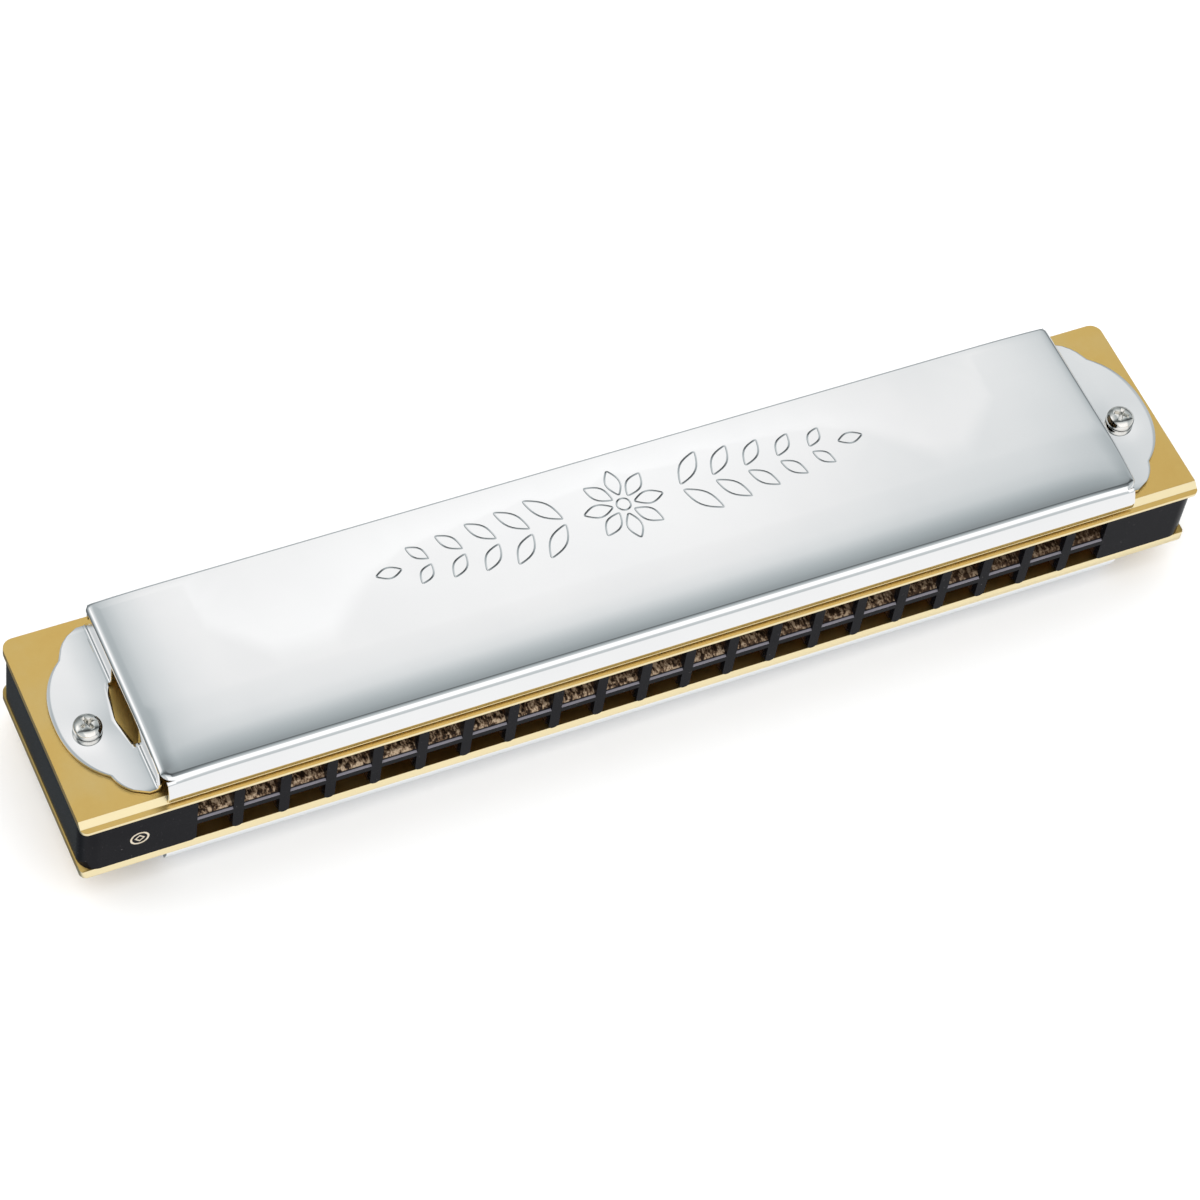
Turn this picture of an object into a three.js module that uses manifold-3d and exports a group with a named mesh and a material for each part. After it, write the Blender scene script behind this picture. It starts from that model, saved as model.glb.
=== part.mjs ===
// A double-row octave harmonica: a plastic comb between two brass reed plates, each plate
// carrying one reed per chamber, closed by a folded sheet-metal cover above and below.
// Millimetres. +X runs along the instrument from low notes to high, -Y is the side that is
// blown into, +Z is up. The origin is the centre of the underside, on the lower cover.

import * as THREE from 'three';
import { mergeVertices } from 'three/addons/utils/BufferGeometryUtils.js';
import Module from 'manifold-3d';

const wasm = await Module();
wasm.setup();

// Driving dimensions
const LENGTH = 168;
const WIDTH = 32.1;
const PLATE_THICKNESS = 1.2;
const COMB_HEIGHT = 9.1;
const COVER_HEIGHT = 5.1;
const SEAT_GAP = 0.05; // between a plate and the comb it is nailed to

// Levels, from the underside of the lower cover up
const LOWER_PLATE_Z = COVER_HEIGHT;
const COMB_Z = LOWER_PLATE_Z + PLATE_THICKNESS + SEAT_GAP;
const UPPER_PLATE_Z = COMB_Z + COMB_HEIGHT + SEAT_GAP;
const UPPER_FACE_Z = UPPER_PLATE_Z + PLATE_THICKNESS;
const TOTAL_HEIGHT = UPPER_FACE_Z + COVER_HEIGHT;

// Comb
const COLUMNS = 21;
const PITCH = 6.6;
const CHAMBER_WIDTH = 5.1;
const PATTERN_SHIFT = 0.75; // the chambers, reeds and nails sit this far towards the high notes
const UPPER_CHAMBER_HEIGHT = 3.95;
const LOWER_CHAMBER_HEIGHT = 3.6;
const RAMP_DEPTH = 1.0; // the shelf between the two rows slopes down to its front edge
const RAMP_DROP = 0.6;
const CHAMBER_BACK_ROOM = 0.8;
const COMB_INSET = 0.15; // how far the comb stands back from the plates' edges
const COMB_CORNER = 2.6;

// Reed plates
const PLATE_FRONT_CORNER = 1.0;
const PLATE_BACK_CORNER = 1.7;
const PLATE_FRONT = -WIDTH / 2;
const BEVEL_START = -14.3;
const LEDGE_START = -15.25;
const LEDGE_DEPTH = 0.7;
const CHAMFER = { depth: 0.55, height: 0.9 }; // along the front of the lower plate, on the comb's side

// Reeds and their slots
const SLOT_FRONT = -10.6;
const LONGEST_SLOT = 20;
const SHORTEST_SLOT = 10;
const SLOT_WIDTH = 2.5;
const REED_WIDTH = 2.3;
const REED_TIP_GAP = 0.15;
const REED_THICKNESS = 0.3;
const REED_GAP = 0.3; // room for the pad to tilt over the plate
const PAD_LENGTH = 3.2;
const PAD_WIDTH = 2.9;
const RIVET_HEAD_RADIUS = 0.9;
const RIVET_HEAD_HEIGHT = 0.5;
const RIVET_RADIUS = 0.5;
const RIVET_HOLE_RADIUS = 0.75;

// Covers
const SHEET = 0.4;
const COVER_SHIFT = 0.7; // like the chambers, the covers aren't quite central
const COVER_HALF_LENGTH = 73.2;
const FLANGE_HALF_LENGTH = 72.5;
const COVER_BACK = 14.9;
const CROWN_START = -4;
const CREASE = [-13.75, 4.05];
const LIP_TOP = [-15.55, 1.2];
const LIP_FOOT = [-15.4, -0.25];
const BEND = 1.0;
const BACK_SLOT = 1.5; // sound opening along the back, under the turned-down edge
const BACK_SLOT_START = 12;
const LIP_THICKNESS = 0.9;
const WALL_FRONT = -13.3; // the end walls stop short of the front flange
const SLIT = { width: 0.9, from: -13.6, height: 3.1 }; // relief at the front corners
const GORE = { foot: 14.65, top: 11.8, height: 3.9, depth: 1.2 }; // relief at the back corners
const WINDOW = { from: -5.8, to: 4.5, top: 4.1, elbow: -1.2, shoulder: 0.45, depth: 1.5, reach: 2 };
const TAB_LIFT = 0.12;
const TAB_CENTRE_Y = 0.5;
const TAB_HALF_WIDTH = 14.2; // along the fold
const MID_LOBE = { x: 70.6, radius: 12, from: 47 };
const SIDE_LOBE = { x: 72.7, y: 8.35, radius: 5.8, from: 11, to: 72 };

// Fasteners
const SCREW_X = 78.15;
const SCREW_SHIFT = 0.2;
const SCREW_Y = -1.45;
const SCREW_HEAD_RADIUS = 2.0;
const SCREW_HEAD_HEIGHT = 1.6;
const SCREW_RADIUS = 1.0;
const SCREW_GRIP = 4.2; // length of thread in the comb
const SCREW_CLEARANCE = 0.1;
const SCREW_RIM = 0.9; // height of the head's straight side
const RECESS_ARM = 1.1;
const RECESS_HALF_WIDTH = 0.28;
const RECESS_DEPTH = 0.8;
const NAIL_X = 5.5 * PITCH;
const NAIL_YS = [-12.7, 12.9];
const NAIL_RADIUS = 0.4;
const NAIL_HEAD_RADIUS = 0.9;
const NAIL_HEAD_HEIGHT = 0.35;
const NAIL_DEPTH = 3.2;
const NAIL_CLEARANCE = 0.05;
const NAIL_HOLE_ROOM = 0.2; // between a nail's foot and the bottom of its hole
const BEYOND = 1; // how far a cutting block passes a face

// Materials
const metal = (color, roughness) => new THREE.MeshStandardMaterial({ color, roughness, metalness: 1 });
const materials = {
  comb: new THREE.MeshStandardMaterial({ color: 0x1c1c20, roughness: 0.25, metalness: 0 }),
  brass: metal(0xd2b066, 0.35),
  reed: metal(0xc79a55, 0.3),
  chrome: metal(0xdfe2e4, 0.08),
  nickel: metal(0xd8d4cc, 0.15),
  nail: metal(0xc0a468, 0.35),
};

const harmonica = new THREE.Group();

// Solids

function toSolid(geometry) {
  const plain = geometry.index ? geometry.toNonIndexed() : geometry.clone();
  plain.deleteAttribute('normal');
  plain.deleteAttribute('uv');
  const merged = mergeVertices(plain, 1e-4);
  return new wasm.Manifold(new wasm.Mesh({
    numProp: 3,
    vertProperties: new Float32Array(merged.attributes.position.array),
    triVerts: new Uint32Array(merged.index.array),
  }));
}

function toGeometry(solid) {
  const mesh = solid.getMesh();
  const geometry = new THREE.BufferGeometry();
  geometry.setAttribute('position', new THREE.BufferAttribute(new Float32Array(mesh.vertProperties), 3));
  geometry.setIndex(new THREE.BufferAttribute(new Uint32Array(mesh.triVerts), 1));
  geometry.computeVertexNormals();
  return geometry;
}

function joined(solids) {
  return solids.reduce((sum, solid) => sum.add(solid));
}

function without(solid, cutters) {
  return cutters.reduce((rest, cutter) => rest.subtract(cutter), solid);
}

function outline(points) {
  return new THREE.Shape(points.map(([a, b]) => new THREE.Vector2(a, b)));
}

// A section in Y and Z, run from x0 to x1
function alongX(points, x0, x1) {
  const geometry = new THREE.ExtrudeGeometry(outline(points), { depth: x1 - x0, bevelEnabled: false });
  geometry.applyMatrix4(new THREE.Matrix4().set(0, 0, 1, x0, 1, 0, 0, 0, 0, 1, 0, 0, 0, 0, 0, 1));
  return toSolid(geometry);
}

// A section in X and Z, run from y0 to y1
function alongY(points, y0, y1) {
  const geometry = new THREE.ExtrudeGeometry(outline(points), { depth: y1 - y0, bevelEnabled: false });
  geometry.applyMatrix4(new THREE.Matrix4().set(1, 0, 0, 0, 0, 0, -1, y1, 0, 1, 0, 0, 0, 0, 0, 1));
  return toSolid(geometry);
}

// A section in X and Y, stood up from z0 to z1
function upright(points, z0, z1) {
  const geometry = new THREE.ExtrudeGeometry(outline(points), { depth: z1 - z0, bevelEnabled: false });
  geometry.translate(0, 0, z0);
  return toSolid(geometry);
}

function block(x0, x1, y0, y1, z0, z1) {
  return upright([[x0, y0], [x1, y0], [x1, y1], [x0, y1]], z0, z1);
}

function circle(x, y, radius, sides) {
  return Array.from({ length: sides }, (_, i) => {
    const angle = ((i + 0.5) * 2 * Math.PI) / sides;
    return [x + radius * Math.cos(angle), y + radius * Math.sin(angle)];
  });
}

function disc(x, y, radius, z0, z1, sides) {
  return upright(circle(x, y, radius, sides), z0, z1);
}

function arc(x, y, radius, from, to, steps) {
  return Array.from({ length: steps + 1 }, (_, i) => {
    const angle = THREE.MathUtils.degToRad(from + ((to - from) * i) / steps);
    return [x + radius * Math.cos(angle), y + radius * Math.sin(angle)];
  });
}

function roundedRectangle(halfX, halfY, frontRadius, backRadius, steps) {
  const corner = (sx, sy, from) => {
    const radius = sy < 0 ? frontRadius : backRadius;
    return arc(sx * (halfX - radius), sy * (halfY - radius), radius, from, from + 90, steps);
  };
  return [...corner(1, 1, 0), ...corner(-1, 1, 90), ...corner(-1, -1, 180), ...corner(1, -1, 270)];
}

// The lower half of the instrument is the upper half turned over about its middle plane
function turnedOver(geometry) {
  const mirrored = geometry.index ? geometry.toNonIndexed() : geometry.clone();
  const position = mirrored.attributes.position;
  for (let i = 0; i < position.count; i += 1) {
    position.setZ(i, TOTAL_HEIGHT - position.getZ(i));
  }
  for (let i = 0; i < position.count; i += 3) {
    const second = [position.getX(i + 1), position.getY(i + 1), position.getZ(i + 1)];
    position.setXYZ(i + 1, position.getX(i + 2), position.getY(i + 2), position.getZ(i + 2));
    position.setXYZ(i + 2, ...second);
  }
  mirrored.computeVertexNormals();
  return mirrored;
}

function place(name, geometry, material) {
  const mesh = new THREE.Mesh(geometry, material);
  mesh.name = name;
  harmonica.add(mesh);
}

function placePair(name, geometry, material) {
  place(`upper_${name}`, geometry, material);
  place(`lower_${name}`, turnedOver(geometry), material);
}

// Columns of chambers, from the lowest note at -X to the highest at +X

const columns = Array.from({ length: COLUMNS }, (_, i) => {
  const slotLength = THREE.MathUtils.lerp(LONGEST_SLOT, SHORTEST_SLOT, i / (COLUMNS - 1));
  return {
    number: String(i + 1).padStart(2, '0'),
    x: PATTERN_SHIFT + (i - (COLUMNS - 1) / 2) * PITCH,
    blow: i % 2 === 0,
    slotBack: SLOT_FRONT + slotLength,
  };
});

// A blow reed is riveted behind its slot, inside the chamber; a draw reed in front of it, outside
function rivetY(column) {
  return column.blow ? column.slotBack + PAD_LENGTH / 2 : SLOT_FRONT - PAD_LENGTH / 2;
}

function screwX(side) {
  return side * SCREW_X + SCREW_SHIFT;
}

function nailX(side) {
  return side * NAIL_X + PATTERN_SHIFT;
}

// Comb

function comb() {
  const top = COMB_Z + COMB_HEIGHT;
  const high = top + BEYOND;
  const low = COMB_Z - BEYOND;
  const shelfTop = top - UPPER_CHAMBER_HEIGHT;
  const halfX = LENGTH / 2 - COMB_INSET;
  const halfY = WIDTH / 2 - COMB_INSET;
  const body = upright(roundedRectangle(halfX, halfY, COMB_CORNER, COMB_CORNER, 4), COMB_Z, top);
  const ramp = [
    [RAMP_DEPTH - halfY, shelfTop],
    [-halfY, shelfTop - RAMP_DROP],
    [-halfY - BEYOND, shelfTop - RAMP_DROP],
    [-halfY - BEYOND, high],
    [RAMP_DEPTH - halfY, high],
  ];
  const cutters = [];
  for (const column of columns) {
    const x0 = column.x - CHAMBER_WIDTH / 2;
    const x1 = column.x + CHAMBER_WIDTH / 2;
    const back = column.slotBack + PAD_LENGTH + CHAMBER_BACK_ROOM;
    cutters.push(block(x0, x1, PLATE_FRONT, back, shelfTop, high));
    cutters.push(block(x0, x1, PLATE_FRONT, back, low, COMB_Z + LOWER_CHAMBER_HEIGHT));
    cutters.push(alongX(ramp, x0, x1));
  }
  const screwHole = SCREW_RADIUS + SCREW_CLEARANCE;
  const nailHole = NAIL_RADIUS + NAIL_CLEARANCE;
  for (const side of [-1, 1]) {
    cutters.push(disc(screwX(side), SCREW_Y, screwHole, low, high, 12));
    for (const y of NAIL_YS) {
      cutters.push(disc(nailX(side), y, nailHole, top - NAIL_DEPTH, high, 8));
      cutters.push(disc(nailX(side), y, nailHole, low, COMB_Z + NAIL_DEPTH, 8));
    }
  }
  return toGeometry(without(body, cutters));
}

// Reed plate; the upper one has a bevel and a low ledge along its front, below the cover's lip,
// and the lower one a chamfer that faces the comb

function reedPlate(hasLedge) {
  const top = UPPER_FACE_Z;
  const low = UPPER_PLATE_Z - BEYOND;
  const high = top + BEYOND;
  const plan = roundedRectangle(LENGTH / 2, WIDTH / 2, PLATE_FRONT_CORNER, PLATE_BACK_CORNER, 4);
  const plate = upright(plan, UPPER_PLATE_Z, top);
  const cutters = [];
  for (const column of columns) {
    const x0 = column.x - SLOT_WIDTH / 2;
    const x1 = column.x + SLOT_WIDTH / 2;
    cutters.push(block(x0, x1, SLOT_FRONT, column.slotBack, low, high));
    cutters.push(disc(column.x, rivetY(column), RIVET_HOLE_RADIUS, low, high, 8));
  }
  for (const side of [-1, 1]) {
    cutters.push(disc(screwX(side), SCREW_Y, SCREW_RADIUS + SCREW_CLEARANCE, low, high, 12));
    for (const y of NAIL_YS) {
      cutters.push(disc(nailX(side), y, NAIL_RADIUS + NAIL_CLEARANCE, low, high, 8));
    }
  }
  const ledge = [
    [BEVEL_START, top],
    [LEDGE_START, top - LEDGE_DEPTH],
    [PLATE_FRONT - BEYOND, top - LEDGE_DEPTH],
    [PLATE_FRONT - BEYOND, high],
    [BEVEL_START, high],
  ];
  const chamfer = [
    [PLATE_FRONT + CHAMFER.depth, UPPER_PLATE_Z],
    [PLATE_FRONT, UPPER_PLATE_Z + CHAMFER.height],
    [PLATE_FRONT - BEYOND, UPPER_PLATE_Z + CHAMFER.height],
    [PLATE_FRONT - BEYOND, low],
    [PLATE_FRONT + CHAMFER.depth, low],
  ];
  cutters.push(alongX(hasLedge ? ledge : chamfer, -LENGTH, LENGTH));
  return toGeometry(without(plate, cutters));
}

// Reed with its rivet

function reed(column) {
  const hingeY = column.blow ? column.slotBack : SLOT_FRONT;
  const inward = column.blow ? -1 : 1;
  const tipY = column.blow ? SLOT_FRONT + REED_TIP_GAP : column.slotBack - REED_TIP_GAP;
  const padEndY = hingeY - inward * PAD_LENGTH;
  const points = [
    [column.x - REED_WIDTH / 2, tipY],
    [column.x + REED_WIDTH / 2, tipY],
    [column.x + REED_WIDTH / 2, hingeY],
    [column.x + PAD_WIDTH / 2, hingeY],
    [column.x + PAD_WIDTH / 2, padEndY],
    [column.x - PAD_WIDTH / 2, padEndY],
    [column.x - PAD_WIDTH / 2, hingeY],
    [column.x - REED_WIDTH / 2, hingeY],
  ];
  const face = column.blow ? UPPER_PLATE_Z - REED_GAP - REED_THICKNESS : UPPER_FACE_Z + REED_GAP;
  const blade = upright(points, face, face + REED_THICKNESS);
  const headZ = column.blow ? face - RIVET_HEAD_HEIGHT : face + REED_THICKNESS;
  const overlap = REED_THICKNESS / 2;
  const y = rivetY(column);
  const head = column.blow
    ? disc(column.x, y, RIVET_HEAD_RADIUS, headZ, headZ + RIVET_HEAD_HEIGHT + overlap, 8)
    : disc(column.x, y, RIVET_HEAD_RADIUS, headZ - overlap, headZ + RIVET_HEAD_HEIGHT, 8);
  const shank = column.blow
    ? disc(column.x, y, RIVET_RADIUS, face + overlap, UPPER_FACE_Z, 6)
    : disc(column.x, y, RIVET_RADIUS, UPPER_PLATE_Z, face + overlap, 6);
  return toGeometry(joined([blade, head, shank]));
}

// Cover

// Height of the crowned top above the plate, at a distance y across the instrument
function crownHeight(y) {
  const t = Math.min(0, y - CROWN_START) / (CREASE[0] - CROWN_START);
  return COVER_HEIGHT - (COVER_HEIGHT - CREASE[1]) * t * t;
}

// The cover's outer section, or with an inset the hollow inside it, which runs out through the bottom
function coverSection(inset, lipFoot) {
  const base = UPPER_FACE_Z;
  const steps = 5;
  const crown = Array.from({ length: steps + 1 }, (_, i) => {
    const y = THREE.MathUtils.lerp(CREASE[0], CROWN_START, i / steps);
    return [y + (i === 0 ? inset : 0), base + crownHeight(y) - inset];
  });
  const radius = BEND / 2;
  const bend = arc(COVER_BACK - radius, base + COVER_HEIGHT - radius, radius - inset, 90, 0, 3);
  const foot = inset > 0 ? -BEYOND : lipFoot;
  const backFoot = inset > 0 ? -BEYOND : TAB_LIFT;
  return [
    [LIP_FOOT[0] + inset, base + foot],
    [LIP_TOP[0] + inset, base + LIP_TOP[1] - inset / 4],
    ...crown,
    ...bend,
    [COVER_BACK - inset, base + backFoot],
    [LIP_FOOT[0] + LIP_THICKNESS + inset, base + backFoot],
    [LIP_FOOT[0] + LIP_THICKNESS, base + foot],
  ];
}

function coverEnvelope(inset) {
  const halfX = COVER_HALF_LENGTH - inset;
  const radius = BEND - inset;
  const top = UPPER_FACE_Z + COVER_HEIGHT - inset;
  const bottom = UPPER_FACE_Z - 2;
  const section = [
    [-halfX, bottom],
    [halfX, bottom],
    ...arc(halfX - radius, top - radius, radius, 0, 90, 3),
    ...arc(radius - halfX, top - radius, radius, 90, 180, 3),
  ];
  return alongY(section, -WIDTH, WIDTH);
}

// Three lobes, listed round the tab at the high-note end
function tabOutline() {
  const side = (sign) => {
    const angles = sign > 0 ? [SIDE_LOBE.from, SIDE_LOBE.to] : [-SIDE_LOBE.to, -SIDE_LOBE.from];
    return arc(SIDE_LOBE.x, TAB_CENTRE_Y + sign * SIDE_LOBE.y, SIDE_LOBE.radius, ...angles, 6);
  };
  return [
    [COVER_HALF_LENGTH - SHEET, TAB_CENTRE_Y - TAB_HALF_WIDTH],
    ...side(-1),
    ...arc(MID_LOBE.x, TAB_CENTRE_Y, MID_LOBE.radius, -MID_LOBE.from, MID_LOBE.from, 12),
    ...side(1),
    [COVER_HALF_LENGTH - SHEET, TAB_CENTRE_Y + TAB_HALF_WIDTH],
  ];
}

// The window in the fold at one end of the cover, cut up into the end wall and out into the tab
function windowCutters(side) {
  const base = UPPER_FACE_Z;
  const wall = side * COVER_HALF_LENGTH;
  const inner = wall - side * WINDOW.reach;
  const tabCut = [
    [inner, WINDOW.from],
    [wall + side * WINDOW.shoulder, WINDOW.from],
    [wall + side * WINDOW.depth, WINDOW.elbow],
    [wall + side * WINDOW.shoulder, WINDOW.to],
    [inner, WINDOW.to],
  ];
  const outer = wall + side * SEAT_GAP;
  const faceZ = base + TAB_LIFT + SHEET + SEAT_GAP;
  return [
    block(...ordered(inner, outer), WINDOW.from, WINDOW.to, base - BEYOND, base + WINDOW.top),
    upright(side > 0 ? tabCut : tabCut.reverse(), base - BEYOND, faceZ),
  ];
}

function ordered(a, b) {
  return a < b ? [a, b] : [b, a];
}

// The slits that free one end wall and its tab from the front flange and from the back wall
function reliefCutters(side) {
  const base = UPPER_FACE_Z;
  const far = side * (COVER_HALF_LENGTH + BEYOND);
  const low = base - BEYOND;
  const slitX = side * (FLANGE_HALF_LENGTH - SLIT.width / 2);
  const gore = [
    [GORE.foot, base],
    [COVER_BACK + BEYOND, base],
    [COVER_BACK + BEYOND, base + GORE.height],
    [GORE.top, base + GORE.height],
  ];
  return [
    block(...ordered(side * FLANGE_HALF_LENGTH, far), -WIDTH, WALL_FRONT, low, base + CREASE[1] - SHEET),
    block(...ordered(slitX, slitX + side * SLIT.width), SLIT.from, WALL_FRONT + SHEET, low, base + SLIT.height),
    alongX(gore, ...ordered(side * (COVER_HALF_LENGTH - GORE.depth), far)),
  ];
}

function cover(lipFoot) {
  const base = UPPER_FACE_Z;
  const low = base - BEYOND;
  const outside = alongX(coverSection(0, lipFoot), -COVER_HALF_LENGTH, COVER_HALF_LENGTH)
    .intersect(coverEnvelope(0));
  const inside = alongX(coverSection(SHEET, lipFoot), SHEET - COVER_HALF_LENGTH, COVER_HALF_LENGTH - SHEET)
    .intersect(coverEnvelope(SHEET));
  const solids = [outside.subtract(inside)];
  const cutters = [];
  const far = COVER_HALF_LENGTH + BEYOND;
  cutters.push(block(-far, far, BACK_SLOT_START, COVER_BACK + BEYOND, low, base + BACK_SLOT));
  const screwHole = SCREW_RADIUS + 2 * SCREW_CLEARANCE;
  for (const side of [-1, 1]) {
    const points = tabOutline().map(([x, y]) => [side * x, y]);
    solids.push(upright(side > 0 ? points : points.reverse(), base + TAB_LIFT, base + TAB_LIFT + SHEET));
    cutters.push(...windowCutters(side));
    cutters.push(...reliefCutters(side));
    cutters.push(disc(screwX(side) - COVER_SHIFT, SCREW_Y, screwHole, low, base + BEYOND, 12));
  }
  const geometry = toGeometry(without(joined(solids), cutters));
  geometry.translate(COVER_SHIFT, 0, 0);
  return geometry;
}

// Cover screw: a pan head with a crossed recess on a plain shank

function screw(side) {
  const x = screwX(side);
  const seat = UPPER_FACE_Z + TAB_LIFT + SHEET + SEAT_GAP;
  const top = seat + SCREW_HEAD_HEIGHT;
  const foot = COMB_Z + COMB_HEIGHT - SCREW_GRIP;
  const profile = [
    [0, foot],
    [SCREW_RADIUS, foot],
    [SCREW_RADIUS, seat],
    [SCREW_HEAD_RADIUS, seat],
    [SCREW_HEAD_RADIUS, seat + SCREW_RIM],
    [SCREW_HEAD_RADIUS * 0.85, top - SCREW_HEAD_HEIGHT / 6],
    [SCREW_HEAD_RADIUS / 2, top],
    [0, top],
  ].map(([radius, z]) => new THREE.Vector2(radius, z));
  const lathe = new THREE.LatheGeometry(profile, 16);
  lathe.rotateX(Math.PI / 2);
  lathe.translate(x, SCREW_Y, 0);
  const armX = [x - RECESS_ARM, x + RECESS_ARM, SCREW_Y - RECESS_HALF_WIDTH, SCREW_Y + RECESS_HALF_WIDTH];
  const armY = [x - RECESS_HALF_WIDTH, x + RECESS_HALF_WIDTH, SCREW_Y - RECESS_ARM, SCREW_Y + RECESS_ARM];
  const recess = [armX, armY].map((arm) => block(...arm, top - RECESS_DEPTH, top + BEYOND));
  return toGeometry(without(toSolid(lathe), recess));
}

function nail(side, y) {
  const x = nailX(side);
  const seat = UPPER_FACE_Z + SEAT_GAP;
  const foot = COMB_Z + COMB_HEIGHT - NAIL_DEPTH + NAIL_HOLE_ROOM;
  const shank = disc(x, y, NAIL_RADIUS, foot, seat + NAIL_HEAD_HEIGHT / 2, 8);
  const head = disc(x, y, NAIL_HEAD_RADIUS, seat, seat + NAIL_HEAD_HEIGHT, 10);
  return toGeometry(shank.add(head));
}

// Assembly

place('comb', comb(), materials.comb);
place('upper_reed_plate', reedPlate(true), materials.brass);
place('lower_reed_plate', turnedOver(reedPlate(false)), materials.brass);
for (const column of columns) {
  const kind = column.blow ? 'blow' : 'draw';
  placePair(`${kind}_reed_${column.number}`, reed(column), materials.reed);
}
place('upper_cover', cover(LIP_FOOT[1]), materials.chrome);
place('lower_cover', turnedOver(cover(TAB_LIFT)), materials.chrome);
for (const [side, label] of [[-1, 'left'], [1, 'right']]) {
  placePair(`cover_screw_${label}`, screw(side), materials.nickel);
  placePair(`plate_nail_front_${label}`, nail(side, NAIL_YS[0]), materials.nail);
  placePair(`plate_nail_back_${label}`, nail(side, NAIL_YS[1]), materials.nail);
}

export default harmonica;
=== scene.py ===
"""Looks of an octave harmonica: folded chrome covers, brass reed plates, a black comb and 42 bronze reeds.

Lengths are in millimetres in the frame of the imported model, and become metres when a mesh is made.
The lower half is the upper half turned over about the instrument's middle plane.
"""

import math

import bmesh
import bpy
from mathutils import Matrix, Vector
from mathutils.geometry import delaunay_2d_cdt


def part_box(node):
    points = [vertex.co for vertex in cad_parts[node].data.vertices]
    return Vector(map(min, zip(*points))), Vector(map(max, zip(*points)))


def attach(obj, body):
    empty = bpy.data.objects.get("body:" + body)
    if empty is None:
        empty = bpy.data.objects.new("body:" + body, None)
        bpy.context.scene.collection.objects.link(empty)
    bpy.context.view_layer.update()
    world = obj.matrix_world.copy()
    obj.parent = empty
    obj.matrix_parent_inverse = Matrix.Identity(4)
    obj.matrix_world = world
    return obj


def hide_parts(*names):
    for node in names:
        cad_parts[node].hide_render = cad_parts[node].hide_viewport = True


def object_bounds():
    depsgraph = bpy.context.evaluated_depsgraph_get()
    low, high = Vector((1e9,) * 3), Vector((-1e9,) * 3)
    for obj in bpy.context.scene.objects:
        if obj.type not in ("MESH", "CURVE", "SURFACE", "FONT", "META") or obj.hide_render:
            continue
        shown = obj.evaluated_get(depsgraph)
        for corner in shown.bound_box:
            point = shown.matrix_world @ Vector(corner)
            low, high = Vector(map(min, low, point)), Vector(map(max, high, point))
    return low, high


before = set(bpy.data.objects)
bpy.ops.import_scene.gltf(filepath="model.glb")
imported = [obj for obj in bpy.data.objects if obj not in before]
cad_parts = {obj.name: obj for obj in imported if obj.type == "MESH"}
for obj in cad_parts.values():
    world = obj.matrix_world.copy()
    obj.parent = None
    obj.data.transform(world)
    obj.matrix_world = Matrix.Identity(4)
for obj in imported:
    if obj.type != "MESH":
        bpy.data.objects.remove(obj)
cad_low, cad_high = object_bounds()

MM = 0.001

# Levels and edges read from the frame


def box_mm(node):
    low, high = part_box(node)
    return low / MM, high / MM


def centre_of(node):
    low, high = box_mm(node)
    return (low + high) / 2


def reed_node(half, i):
    kind = "draw" if i % 2 else "blow"
    return f"{half}_{kind}_reed_{i + 1:02d}"


plate_low, plate_high = box_mm("upper_reed_plate")
comb_low, comb_high = box_mm("comb")
cover_low, cover_high = box_mm("upper_cover")

TOTAL_HEIGHT = cad_high.z / MM
FACE_Z = plate_high.z
HALF_LENGTH = plate_high.x
PLATE_FRONT = plate_low.y
COVER_CENTRE = (cover_low.x + cover_high.x) / 2

# Columns of chambers, counted from the low notes, and the fasteners

COLUMNS = 21
FIRST_X = centre_of(reed_node("upper", 0)).x
LAST_X = centre_of(reed_node("upper", COLUMNS - 1)).x
PITCH = (LAST_X - FIRST_X) / (COLUMNS - 1)
SLOT_FRONT = -10.6
LONGEST_SLOT = 20.0
SHORTEST_SLOT = 10.0
SLOT_WIDTH = 2.5
SLOT_CORNER = 0.12
PAD_LENGTH = 3.2
PAD_WIDTH = 2.9
UPPER_CHAMBER_HEIGHT = 3.95
RAMP_DROP = 0.6
CHAMBER_END = 71.0
SCREW_X = [centre_of(f"upper_cover_screw_{side}").x for side in ("left", "right")]
SCREW_Y = centre_of("upper_cover_screw_left").y
SCREW_HOLE_RADIUS = 1.1
NAIL_HOLE_RADIUS = 0.45


def slot_back(i):
    share = i / (COLUMNS - 1)
    return SLOT_FRONT + LONGEST_SLOT + (SHORTEST_SLOT - LONGEST_SLOT) * share


# Mesh helpers


def new_object(name, mesh):
    piece = bpy.data.objects.new(name, mesh)
    bpy.context.scene.collection.objects.link(piece)
    return piece


def mesh_from(name, points, faces):
    mesh = bpy.data.meshes.new(name)
    mesh.from_pydata([Vector(p) * MM for p in points], [], faces)
    mesh.validate()
    return mesh


def modifier(piece, kind, **settings):
    added = piece.modifiers.new(kind.lower(), kind)
    for key, value in settings.items():
        setattr(added, key, value)
    return added


def applied(piece):
    """Replaces the piece's mesh by what its modifiers make of it."""
    bpy.context.view_layer.update()
    evaluated = piece.evaluated_get(bpy.context.evaluated_depsgraph_get())
    mesh = bpy.data.meshes.new_from_object(evaluated)
    piece.modifiers.clear()
    piece.data = mesh
    return piece


def shade_smooth(piece):
    for polygon in piece.data.polygons:
        polygon.use_smooth = True


def prism(points, axis, start, end):
    """A closed solid: a flat outline run along an axis. Outline pairs are (x, y), (x, z) or (y, z)."""
    place = {
        "z": lambda a, b, t: (a, b, t),
        "y": lambda a, b, t: (a, t, b),
        "x": lambda a, b, t: (t, a, b),
    }[axis]
    count = len(points)
    verts = [place(a, b, start) for a, b in points] + [place(a, b, end) for a, b in points]
    faces = [list(range(count))[::-1], list(range(count, 2 * count))]
    faces += [(i, (i + 1) % count, (i + 1) % count + count, i + count) for i in range(count)]
    return verts, faces


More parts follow.
